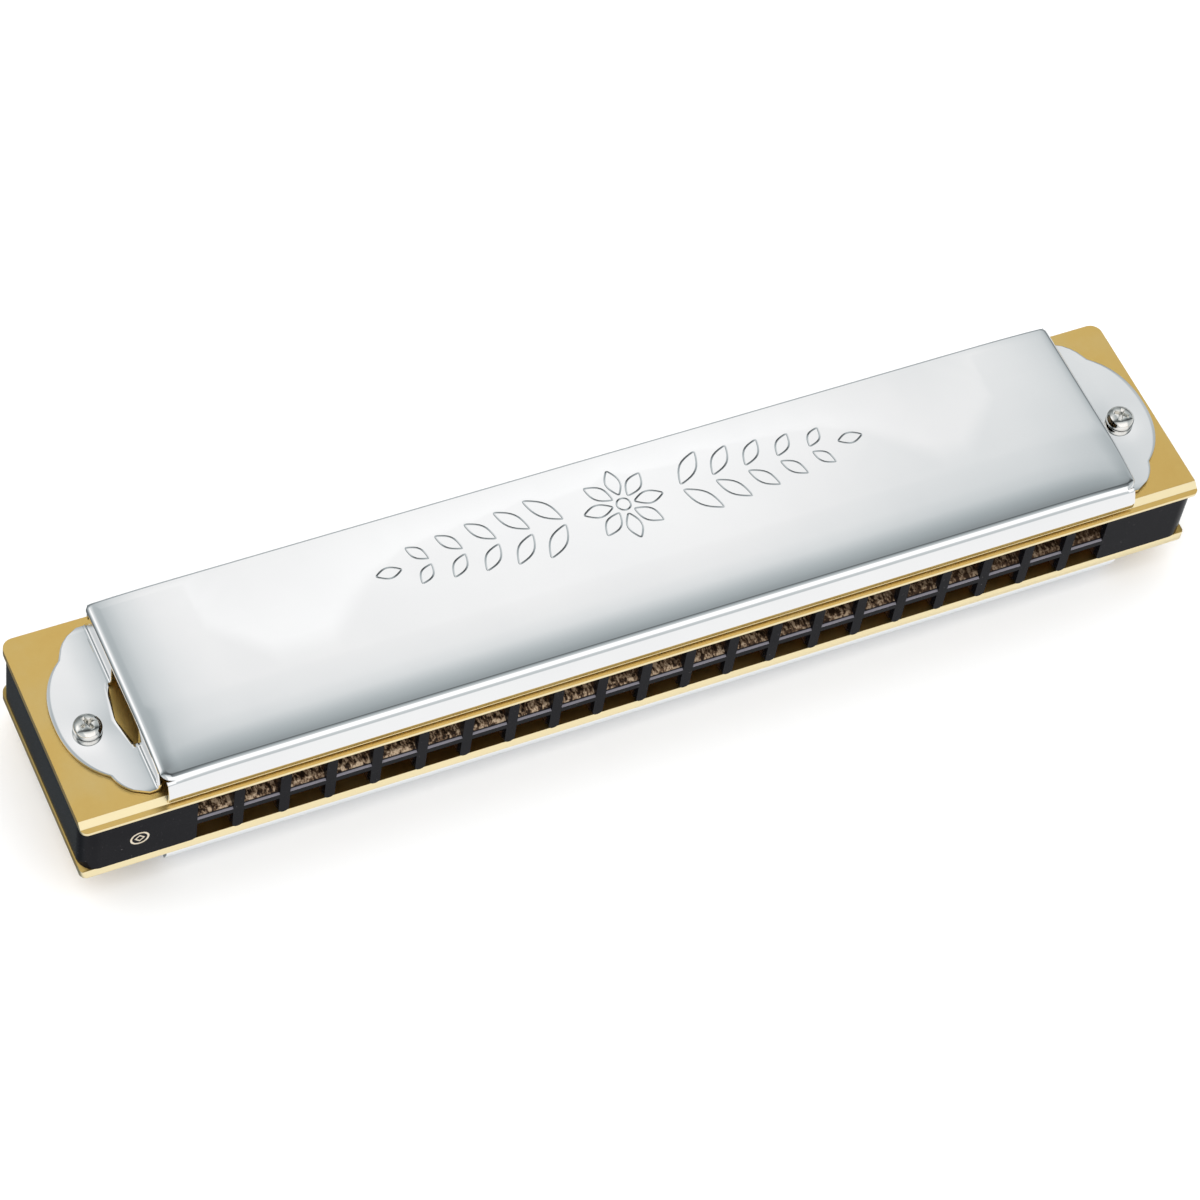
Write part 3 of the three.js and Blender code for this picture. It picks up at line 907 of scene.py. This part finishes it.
def leaf(x, y, length, width, angle, steps=14):
    """A closed leaf outline with rounded tips, from its stem end at (x, y)."""
    outline = []
    turn = math.radians(angle)
    for i in range(2 * steps):
        t = math.pi * i / steps
        u = (1 - math.cos(t)) / 2
        v = math.sin(t) * (math.sin(math.pi * u) * 0.55 + 0.45) * width / 2
        along = u * length
        turned_x = along * math.cos(turn) - v * math.sin(turn)
        turned_y = along * math.sin(turn) + v * math.cos(turn)
        outline.append((x + turned_x, y + turned_y))
    return outline


def ring(x, y, radius, steps=24):
    return arc(x, y, radius, 0, 360 - 360 / steps, steps - 1)


def ornament_lines():
    cx, cy = ORNAMENT_CENTRE
    lines = [ring(cx, cy, EYE_RADIUS)]
    for i in range(PETALS):
        angle = 360 * i / PETALS
        dx, dy = math.cos(math.radians(angle)), math.sin(math.radians(angle))
        lines.append(leaf(cx + PETAL_START * dx, cy + PETAL_START * dy, PETAL_LENGTH, PETAL_WIDTH, angle))
    for side, straight in ((-1, 180), (1, 0)):
        tilt = straight + side * LEAF_TILT
        for i in range(LEAF_PAIRS):
            x = cx + side * (FIRST_PAIR + PAIR_SPACING * i)
            length, width = LEAF_LENGTH - LENGTH_LOSS * i, LEAF_WIDTH - WIDTH_LOSS * i
            lines.append(leaf(x, cy + STEM_GAP, length, width, tilt))
            lines.append(leaf(x, cy - STEM_GAP, length, width, -tilt))
        lines.append(leaf(cx + side * END_LEAF, cy, END_LEAF_LENGTH, END_LEAF_WIDTH, straight))
    return lines


def cover(name, upper, ornament):
    sheet = Sheet()
    add_cover_body(sheet, ornament)
    droop(sheet)
    points = [(x + COVER_CENTRE, y, h + FACE_Z) for x, y, h in sheet.points]
    mesh = mesh_from(name, points, sheet.faces)
    work = bmesh.new()
    work.from_mesh(mesh)
    bmesh.ops.recalc_face_normals(work, faces=work.faces)
    highest = max(work.faces, key=lambda f: f.calc_center_median().z)
    if highest.normal.z < 0:
        bmesh.ops.reverse_faces(work, faces=work.faces)
    for edge in work.edges:
        edge.smooth = len(edge.link_faces) < 2 or edge.calc_face_angle() < math.radians(SHARP_ANGLE)
    work.to_mesh(mesh)
    work.free()
    piece = new_object(name, mesh)
    modifier(
        piece, "SOLIDIFY", thickness=SHEET * MM, offset=-1.0,
        use_even_offset=True, use_quality_normals=True,
    )
    modifier(
        piece, "BEVEL", width=SHEET_EDGE_ROUND * MM, segments=2, limit_method="ANGLE",
        angle_limit=math.radians(60), harden_normals=False, use_clamp_overlap=True,
    )
    shade_smooth(piece)
    applied(piece)
    holes = [disc(x, SCREW_Y, COVER_HOLE_RADIUS, FACE_Z - 1, FACE_Z + 2, 24) for x in SCREW_X]
    cut(piece, holes)
    shade_smooth(piece)
    if not upper:
        turn_over(piece)
    return piece


def turn_over(piece):
    """Mirrors a piece of the upper half to the lower half."""
    work = bmesh.new()
    work.from_mesh(piece.data)
    for vert in work.verts:
        vert.co.z = TOTAL_HEIGHT * MM - vert.co.z
    bmesh.ops.reverse_faces(work, faces=work.faces)
    work.to_mesh(piece.data)
    work.free()


upper_cover = cover("upper_cover_sheet", True, ornament_lines())
lower_cover = cover("lower_cover_sheet", False, [])
finish_piece(upper_cover, CHROME, "cover_chrome", "housing", "upper_cover")
finish_piece(lower_cover, CHROME, "cover_chrome", "housing", "lower_cover")

# Reed plates

PLATE_FRONT_CORNER = 1.0
PLATE_BACK_CORNER = 1.7
BEVEL_START = -14.3
LEDGE_START = -15.25
LEDGE_DEPTH = 0.7
CHAMFER_DEPTH = 0.3
CHAMFER_HEIGHT = 0.9
RIVET_HOLE_RADIUS = 0.75


def rivet_y(i):
    return SLOT_FRONT - PAD_LENGTH / 2 if i % 2 else slot_back(i) + PAD_LENGTH / 2


def nail_places():
    found = []
    for side in ("left", "right"):
        for row in ("front", "back"):
            centre = centre_of(f"upper_plate_nail_{row}_{side}")
            found.append((centre.x, centre.y, f"{row}_{side}"))
    return found


def reed_plate(name, has_ledge):
    low, high = plate_low.z, plate_high.z
    corners = (PLATE_FRONT_CORNER, PLATE_BACK_CORNER, 10)
    outline = rounded_rectangle(-HALF_LENGTH, HALF_LENGTH, PLATE_FRONT, -PLATE_FRONT, *corners)
    mesh = mesh_from(name, *prism(outline, "z", low, high))
    outward(mesh)
    piece = new_object(name, mesh)
    cutters = []
    for i in range(COLUMNS):
        x = FIRST_X + PITCH * i
        sides = (x - SLOT_WIDTH / 2, x + SLOT_WIDTH / 2)
        slot = rounded_rectangle(*sides, SLOT_FRONT, slot_back(i), SLOT_CORNER, SLOT_CORNER, 2)
        cutters.append(prism(slot, "z", low - 1, high + 1))
        cutters.append(disc(x, rivet_y(i), RIVET_HOLE_RADIUS, low - 1, high + 1, 16))
    cutters += [disc(x, SCREW_Y, SCREW_HOLE_RADIUS, low - 1, high + 1, 20) for x in SCREW_X]
    cutters += [disc(x, y, NAIL_HOLE_RADIUS, low - 1, high + 1, 12) for x, y, _ in nail_places()]
    clear = PLATE_FRONT - 1
    if has_ledge:
        ledge = high - LEDGE_DEPTH
        section = [(BEVEL_START, high), (LEDGE_START, ledge), (clear, ledge)]
        section += [(clear, high + 1), (BEVEL_START, high + 1)]
    else:
        back, foot = PLATE_FRONT + CHAMFER_DEPTH, low + CHAMFER_HEIGHT
        section = [(back, low), (PLATE_FRONT, foot), (clear, foot), (clear, low - 1), (back, low - 1)]
    cutters.append(prism(section, "x", -HALF_LENGTH - 1, HALF_LENGTH + 1))
    cut(piece, cutters)
    soften(piece, width=0.08)
    applied(piece)
    return piece


# the lower plate is made in the upper one's place, so its chamfer, on the comb's side, is at the foot
upper_plate = reed_plate("upper_plate_brass", True)
lower_plate = reed_plate("lower_plate_brass", False)
turn_over(lower_plate)
finish_piece(upper_plate, BRASS, "plate_brass", "housing", "upper_reed_plate")
finish_piece(lower_plate, BRASS, "plate_brass", "housing", "lower_reed_plate")

# Comb

COMB_CORNER = 2.6
CHAMBER_WIDTH = 5.1
LOWER_CHAMBER_HEIGHT = 3.6
RAMP_DEPTH = 1.0
CHAMBER_BACK_ROOM = 0.8
CHAMBER_CORNER = 0.5
TOOTH_RADIUS = 0.7
TOOTH_DEPTH = 0.9
TOOTH_STEPS = 6
NAIL_HOLE_DEPTH = 3.2


def mouth(x0, x1, z, inward_z):
    """An opening's outline at the mouth, flared where the rounded teeth on each side meet the plate."""
    r = TOOTH_RADIUS
    outline = [(x0, z + inward_z * 2 * r), (x1, z + inward_z * 2 * r)]
    for k in range(TOOTH_STEPS + 1):
        angle = math.radians(90 * k / TOOTH_STEPS)
        outline.append((x1 + r - r * math.cos(angle), z + inward_z * (r - r * math.sin(angle))))
    outline.append((x1 + r, z - inward_z))
    outline.append((x0 - r, z - inward_z))
    for k in range(TOOTH_STEPS + 1):
        angle = math.radians(90 - 90 * k / TOOTH_STEPS)
        outline.append((x0 - r + r * math.cos(angle), z + inward_z * (r - r * math.sin(angle))))
    return outline


def comb():
    low, high = comb_low.z, comb_high.z
    sides = (comb_low.x, comb_high.x, comb_low.y, comb_high.y)
    outline = rounded_rectangle(*sides, COMB_CORNER, COMB_CORNER, 12)
    mesh = mesh_from("comb_moulding", *prism(outline, "z", low, high))
    outward(mesh)
    piece = new_object("comb_moulding", mesh)
    shelf = high - UPPER_CHAMBER_HEIGHT
    front = comb_low.y
    ramp = [(front + RAMP_DEPTH, shelf), (front, shelf - RAMP_DROP), (front - 1, shelf - RAMP_DROP)]
    ramp += [(front - 1, shelf + 1), (front + RAMP_DEPTH, shelf + 1)]
    chambers, mouths, holes = [], [], []
    for i in range(COLUMNS):
        x0 = FIRST_X + PITCH * i - CHAMBER_WIDTH / 2
        x1 = x0 + CHAMBER_WIDTH
        back = slot_back(i) + PAD_LENGTH + CHAMBER_BACK_ROOM
        plan = rounded_rectangle(x0, x1, front - 1, back, CHAMBER_CORNER, CHAMBER_CORNER, 4)
        chambers.append(prism(plan, "z", shelf, high + 1))
        chambers.append(prism(plan, "z", low - 1, low + LOWER_CHAMBER_HEIGHT))
        mouths.append(prism(mouth(x0, x1, high, -1), "y", front - 1, front + TOOTH_DEPTH))
        mouths.append(prism(mouth(x0, x1, low, 1), "y", front - 1, front + TOOTH_DEPTH))
        mouths.append(prism(ramp, "x", x0, x1))
    for x in SCREW_X:
        holes.append(disc(x, SCREW_Y, SCREW_HOLE_RADIUS, low - 1, high + 1, 20))
    for x, y, _ in nail_places():
        holes.append(disc(x, y, NAIL_HOLE_RADIUS, high - NAIL_HOLE_DEPTH, high + 1, 12))
        holes.append(disc(x, y, NAIL_HOLE_RADIUS, low - 1, low + NAIL_HOLE_DEPTH, 12))
    cut(piece, chambers + holes)
    cut(piece, mouths)
    soften(piece, width=0.16, segments=3)
    applied(piece)
    return piece


finish_piece(comb(), PLASTIC, "comb_plastic", "housing", "comb")

# Reeds with their rivets

REED_WIDTH = 2.3
REED_THICKNESS = 0.3
REED_TIP_GAP = 0.15
PAD_CORNER = 0.4
PAD_SHOULDER = 0.25
RIVET_HEAD = 0.5
RIVET_SHANK_RADIUS = 0.5


def reed(half, i):
    node = reed_node(half, i)
    low, high = box_mm(reed_node("upper", i))
    blow = i % 2 == 0
    x = FIRST_X + PITCH * i
    hinge = slot_back(i) if blow else SLOT_FRONT
    sign = 1 if blow else -1  # from the hinge towards the pad
    tip = SLOT_FRONT + REED_TIP_GAP if blow else slot_back(i) - REED_TIP_GAP
    face = low.z + RIVET_HEAD if blow else high.z - RIVET_HEAD - REED_THICKNESS
    pad_end = hinge + sign * PAD_LENGTH
    blade_half = REED_WIDTH / 2
    pad_half = PAD_WIDTH / 2
    shoulder = hinge + sign * PAD_SHOULDER
    corner = pad_end - sign * PAD_CORNER
    outline = [(x - blade_half, tip), (x + blade_half, tip), (x + blade_half, hinge)]
    outline += [(x + pad_half, shoulder), (x + pad_half, corner), (x + pad_half - PAD_CORNER, pad_end)]
    outline += [(x - pad_half + PAD_CORNER, pad_end), (x - pad_half, corner), (x - pad_half, shoulder)]
    outline.append((x - blade_half, hinge))
    blade = prism(outline, "z", face, face + REED_THICKNESS)
    mesh = mesh_from(node.replace("_reed_", "_blade_"), *blade)
    outward(mesh)
    piece = new_object(mesh.name, mesh)
    # a domed head on the pad's free side, and a shank that is spread in the plate
    domed = [(0, 0), (0.95, 0), (0.95, 0.14), (0.82, 0.33), (0.55, 0.45), (0.25, 0.495), (0, RIVET_HEAD)]
    head = [(r, -z if blow else z) for r, z in domed]
    head_z = face if blow else face + REED_THICKNESS
    rivet = moved(lathe(head, 20), x, rivet_y(i), head_z)
    plate_side = plate_high.z if blow else plate_low.z
    ends = sorted((head_z, plate_side))
    shank = disc(x, rivet_y(i), RIVET_SHANK_RADIUS, *ends, 12)
    parts = mesh_from("rivet", *joined_parts([rivet, shank]))
    outward(parts)
    rivet_object = new_object("rivet", parts)
    modifier(piece, "BOOLEAN", operation="UNION", solver="EXACT", object=rivet_object)
    soften(piece, width=0.035, angle=40)
    applied(piece)
    bpy.data.objects.remove(rivet_object)
    if half == "lower":
        turn_over(piece)
    finish_piece(piece, BRONZE, "reed_bronze", node, node)


for half in ("upper", "lower"):
    for i in range(COLUMNS):
        reed(half, i)

# Cover screws: pan heads with a tapered cross recess

SCREW_HEAD_RADIUS = 2.0
SCREW_HEAD_HEIGHT = 1.6
SCREW_HEAD_RIM = 0.55
SCREW_SHANK_RADIUS = 1.0
SCREW_SHANK_LENGTH = 6.0
SCREW_EDGE = 0.12
DOME_STEPS = 8


def screw_solid():
    """A screw without its recess, with its seat at height 0."""
    r, rim = SCREW_HEAD_RADIUS, SCREW_HEAD_RIM
    profile = [(0, -SCREW_SHANK_LENGTH), (0.7, -SCREW_SHANK_LENGTH)]
    profile += [(SCREW_SHANK_RADIUS, 0.4 - SCREW_SHANK_LENGTH), (SCREW_SHANK_RADIUS, 0)]
    profile += [(r - SCREW_EDGE, 0), (r, SCREW_EDGE), (r, rim)]
    for k in range(1, DOME_STEPS):
        angle = math.radians(90 * k / DOME_STEPS)
        profile.append((r * math.cos(angle) ** 0.7, rim + (SCREW_HEAD_HEIGHT - rim) * math.sin(angle)))
    profile.append((0, SCREW_HEAD_HEIGHT))
    return lathe(profile, 48)


def recess_arm(length, half_top, half_foot, top, foot):
    """One arm of the recess, whose walls taper as they go down."""
    verts = []
    for z, half, reach in ((foot, half_foot, length * 0.55), (top, half_top, length)):
        verts += [(-reach, -half, z), (reach, -half, z), (reach, half, z), (-reach, half, z)]
    faces = [(3, 2, 1, 0), (4, 5, 6, 7)]
    faces += [(i, (i + 1) % 4, (i + 1) % 4 + 4, i + 4) for i in range(4)]
    return verts, faces


def screw(half, side, x, turn):
    node = f"{half}_cover_screw_{side}"
    low, high = box_mm(f"upper_cover_screw_{side}")
    seat = high.z - SCREW_HEAD_HEIGHT
    verts, faces = screw_solid()
    verts = [(vx, vy, max(vz, low.z - seat)) for vx, vy, vz in verts]
    mesh = mesh_from(f"{half}_screw_{side}", verts, faces)
    outward(mesh)
    piece = new_object(mesh.name, mesh)
    arm = recess_arm(length=1.25, half_top=0.3, half_foot=0.2, top=1.9, foot=0.55)
    crossing_arm = ([(-vy, vx, vz) for vx, vy, vz in arm[0]], arm[1])
    cut(piece, [arm])
    cut(piece, [crossing_arm])
    soften(piece, width=0.05, angle=35)
    applied(piece)
    piece.data.transform(Matrix.Rotation(math.radians(turn), 4, "Z"))
    piece.data.transform(Matrix.Translation(Vector((x, SCREW_Y, seat)) * MM))
    if half == "lower":
        turn_over(piece)
    finish_piece(piece, NICKEL, "screw_nickel", "housing", node)


for half in ("upper", "lower"):
    for side, x, turn in (("left", SCREW_X[0], 20.0), ("right", SCREW_X[1], 50.0)):
        screw(half, side, x, turn if half == "upper" else -turn)

# Reed plate nails, with domed heads

NAIL_HEAD = 0.35


def nail(half, x, y, label):
    node = f"{half}_plate_nail_{label}"
    low, high = box_mm(f"upper_plate_nail_{label}")
    head = high.z - NAIL_HEAD
    point = low.z - head
    profile = [(0, point), (0.2, point + 0.3), (0.4, point + 0.7), (0.4, 0), (0.84, 0)]
    profile += [(0.84, 0.1), (0.72, 0.24), (0.45, 0.325), (0, NAIL_HEAD)]
    verts, faces = moved(lathe(profile, 20), x, y, head)
    mesh = mesh_from(f"{half}_nail_{label}", verts, faces)
    outward(mesh)
    piece = new_object(mesh.name, mesh)
    soften(piece, width=0.03, angle=40)
    applied(piece)
    if half == "lower":
        turn_over(piece)
    finish_piece(piece, NAIL, "nail_brass", "housing", node)


for half in ("upper", "lower"):
    for x, y, label in nail_places():
        nail(half, x, y, label)

# Small printed mark at the low end of the comb's mouth side: a lozenge in a ring, with no lettering

MARK_X = -75.9
MARK_HEIGHT = 2.7
MARK_LINE = 0.28


def mark():
    z = (comb_low.z + comb_high.z) / 2
    radius = MARK_HEIGHT / 2
    front = comb_low.y
    proud, sunk = front - 0.03, front + 0.02
    verts, faces = [], []
    for outer, sides in ((radius, 40), (radius * 0.55, 4)):
        inner = outer - MARK_LINE
        start = len(verts)
        for r, y in ((outer, proud), (inner, proud), (inner, sunk), (outer, sunk)):
            for k in range(sides):
                angle = 2 * math.pi * k / sides
                verts.append((MARK_X + r * math.cos(angle), y, z + r * math.sin(angle)))
        for ring_index in range(4):
            a, b = start + ring_index * sides, start + ((ring_index + 1) % 4) * sides
            for k in range(sides):
                j = (k + 1) % sides
                faces.append((a + k, a + j, b + j, b + k))
    mesh = mesh_from("comb_mark", verts, faces)
    outward(mesh)
    piece = new_object("comb_mark", mesh)
    finish_piece(piece, GILT, "nail_brass", "housing")


mark()

# Floor, world light and camera

FLOOR_HALF = 1500


def studio_floor():
    corners = [(x * FLOOR_HALF, y * FLOOR_HALF, 0) for x, y in ((-1, -1), (1, -1), (1, 1), (-1, 1))]
    mesh = mesh_from("floor", corners, [(0, 1, 2, 3)])
    floor = new_object("floor", mesh)
    mesh.materials.append(floor_finish())
    floor.visible_glossy = False  # polished metal sees the studio below its horizon instead


# Brightness of the studio over the object, as (share of the half turn from the back horizon to the
# front one, level). It is what the chrome mirrors.
OVERHEAD = (
    # the dim back, rising to the ceiling light
    (0.0, 0.35), (0.1, 0.4), (0.2, 0.72), (0.27, 1.1), (0.312, 1.18), (0.32, 1.08),
    # the ceiling light, fading towards the front
    (0.33, 1.03), (0.38, 0.98), (0.41, 0.87), (0.435, 0.62), (0.465, 0.36),
    # a dark gap, which the roof's front crease mirrors
    (0.49, 0.18), (0.53, 0.13), (0.56, 0.3),
    # the front light, with a dimmer rim at the horizon
    (0.585, 0.68), (0.62, 0.8), (0.67, 1.05), (0.73, 1.2), (0.97, 1.25), (0.98, 0.75), (1.0, 0.65),
)
# How the light overhead varies from side to side, as (sideways part of the direction, factor)
SIDEWAYS = (
    # the left light, and a dim stretch beside it
    (-1.0, 0.85), (-0.85, 1.15), (-0.6, 1.15), (-0.36, 0.74), (-0.2, 0.68), (0.0, 0.52), (0.1, 0.5),
    # the ceiling light, fading to the right
    (0.14, 0.72), (0.19, 0.87), (0.25, 0.95), (0.33, 1.0), (0.36, 0.97), (0.4, 0.84), (0.5, 0.69),
    # the dim right
    (0.55, 0.54), (1.0, 0.45),
)
FRONT_BELOW = 1.05
LEFT_BACK_BELOW = 0.2
RIGHT_BACK_BELOW = 0.85
DIFFUSE_BRIGHTNESS = 1.5
BACKDROP_BRIGHTNESS = 1.05
CURVE_TOP = 1.5


def curve(tree, value, points):
    """The level at a value, on straight lines between points of (value, level)."""
    node = tree.add("ShaderNodeFloatCurve")
    track = node.mapping.curves[0]
    for _ in points[2:]:
        track.points.new(0.5, 0.5)
    for point, (position, level) in zip(track.points, points):
        point.location = (position, level / CURVE_TOP)
        point.handle_type = "VECTOR"
    node.mapping.update()
    tree.join(value, node.inputs["Value"])
    return tree.maths("MULTIPLY", node.outputs[0], CURVE_TOP)


def studio_world():
    world = bpy.data.worlds.new("studio")
    bpy.context.scene.world = world
    world.use_nodes = True
    world.node_tree.nodes.clear()
    t = Tree(world.node_tree)

    def between(value, low, high, to_low, to_high):
        return t.remap(value, low, high, to_low, to_high, smooth=True)

    def blend(factor, a, b):
        return t.mixed(factor, a, b, "FLOAT")

    split = t.add("ShaderNodeSeparateXYZ")
    t.join(t.add("ShaderNodeTexCoord").outputs["Generated"], split.inputs["Vector"])
    x, y, z = split.outputs
    over = t.maths("DIVIDE", t.maths("ARCTAN2", t.maths("MAXIMUM", z, 0.0), y), math.pi)
    from_left = t.maths("MULTIPLY", t.maths("ADD", x, 1.0), 0.5)
    sideways = curve(t, from_left, [((part + 1) / 2, factor) for part, factor in SIDEWAYS])
    # in front the light reaches further, and falls off only well to the sides
    from_front = between(t.maths("ABSOLUTE", x), 0.48, 0.62, 1.0, 0.58)
    sideways = blend(between(over, 0.5, 0.62, 0.0, 1.0), sideways, from_front)
    sky = t.maths("MULTIPLY", curve(t, over, OVERHEAD), sideways)
    back_below = between(x, -0.1, 0.2, LEFT_BACK_BELOW, RIGHT_BACK_BELOW)
    below = blend(between(y, -0.3, 0.2, 0.0, 1.0), FRONT_BELOW, back_below)
    level = blend(between(z, -0.06, -0.02, 0.0, 1.0), below, sky)
    # matt surfaces are lit evenly, and the backdrop is plain: only reflections see the studio's pattern
    path = t.add("ShaderNodeLightPath")
    strength = blend(path.outputs["Is Diffuse Ray"], level, DIFFUSE_BRIGHTNESS)
    strength = blend(path.outputs["Is Camera Ray"], strength, BACKDROP_BRIGHTNESS)
    # the dimmer parts of the studio are cooler
    tint = t.ramp(strength, (0.45, (0.905, 1.0, 1.035)), (1.0, (1, 1, 1)))
    background = t.add("ShaderNodeBackground")
    t.join(tint, background.inputs["Color"])
    t.join(strength, background.inputs["Strength"])
    t.join(background.outputs[0], t.add("ShaderNodeOutputWorld").inputs["Surface"])


CAMERA_POINT = (-194.57, -299.05, 497.38)
CAMERA_AZIMUTH = -32.79
CAMERA_ELEVATION = 53.938
CAMERA_ROLL = 10.753
CAMERA_LENS = 130.42


def photo_camera():
    a, e, roll = (math.radians(v) for v in (CAMERA_AZIMUTH, CAMERA_ELEVATION, CAMERA_ROLL))
    back = Vector((math.sin(a) * math.cos(e), -math.cos(a) * math.cos(e), math.sin(e)))
    right = Vector((0, 0, 1)).cross(back).normalized()
    up = back.cross(right)
    x = right * math.cos(roll) + up * math.sin(roll)
    y = up * math.cos(roll) - right * math.sin(roll)
    camera = bpy.data.objects.new("camera", bpy.data.cameras.new("camera"))
    bpy.context.scene.collection.objects.link(camera)
    matrix = Matrix((x, y, back)).transposed().to_4x4()
    matrix.translation = Vector(CAMERA_POINT) * MM
    camera.matrix_world = matrix
    camera.data.lens = CAMERA_LENS
    camera.data.sensor_width = 36
    camera.data.clip_start = 0.01
    bpy.context.scene.camera = camera


studio_floor()
studio_world()
photo_camera()
bpy.context.scene.view_settings.view_transform = "Standard"
